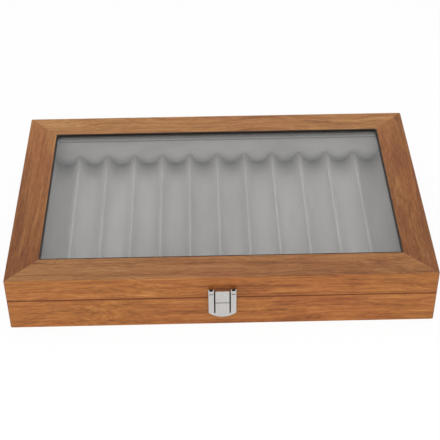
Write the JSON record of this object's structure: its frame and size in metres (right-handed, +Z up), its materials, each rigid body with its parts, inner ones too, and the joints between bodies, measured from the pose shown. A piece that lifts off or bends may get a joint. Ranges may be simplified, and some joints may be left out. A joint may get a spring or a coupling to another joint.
{
  "type": "pen display case",
  "caption": "Flat wooden case with a glazed lid hinged at the back, a velvet tray with slots for pens, and a snap latch in front.",
  "frame": {"origin": "middle of the underside, on the surface the case stands on", "axes": "+X to the right along the case, +Y from the latch to the hinges, +Z up through the lid"},
  "size_m": [0.341, 0.2301, 0.05],
  "materials": {
    "wood_veneer": "satin open-grained veneer",
    "bottom_board": "raw fibreboard",
    "grey_velvet": "short-pile flock",
    "grey_felt": "pressed felt",
    "clear_glass": "polished float glass",
    "bright_chrome": "bright chrome plate",
    "plated_steel": "nickel plated",
    "blackened_steel": "blackened, not polished"
  },
  "bodies": {
    "base": {"base_back_wall": "wood_veneer", "base_front_wall": "wood_veneer", "base_left_wall": "wood_veneer", "base_liner_back": "grey_velvet", "base_liner_front": "grey_velvet", "base_liner_left": "grey_velvet", "base_liner_right": "grey_velvet", "base_right_wall": "wood_veneer", "bottom_panel": "bottom_board", "hinge_base_leaf_left": "plated_steel", "hinge_base_leaf_right": "plated_steel", "hinge_base_screws": "plated_steel", "hinge_pin_left": "plated_steel", "hinge_pin_right": "plated_steel", "latch_catch": "blackened_steel", "latch_catch_nails": "blackened_steel", "pen_tray": "grey_velvet", "underside_felt": "grey_felt"},
    "lid": {"glass_bead_back": "grey_velvet", "glass_bead_front": "grey_velvet", "glass_bead_left": "grey_velvet", "glass_bead_right": "grey_velvet", "glass_pane": "clear_glass", "hinge_lid_leaf_left": "plated_steel", "hinge_lid_leaf_right": "plated_steel", "hinge_lid_screws": "plated_steel", "latch_pins": "blackened_steel", "latch_plate": "bright_chrome", "latch_plate_nails": "plated_steel", "lid_back_rail": "wood_veneer", "lid_front_rail": "wood_veneer", "lid_left_rail": "wood_veneer", "lid_liner_back": "grey_velvet", "lid_liner_front": "grey_velvet", "lid_liner_left": "grey_velvet", "lid_liner_right": "grey_velvet", "lid_right_rail": "wood_veneer"},
    "latch_flap": {"latch_flap": "bright_chrome"}
  },
  "joints": [
    {"name": "lid_hinge", "type": "hinge", "parent": "base", "child": "lid", "pos_m": [0, 0.1127, 0.02865], "axis": [-1, 0, 0], "range_deg": [0, 95]},
    {"name": "latch_hinge", "type": "hinge", "parent": "lid", "child": "latch_flap", "pos_m": [0, -0.11315, 0.0375], "axis": [-1, 0, 0], "range_deg": [0, 110]}
  ]
}
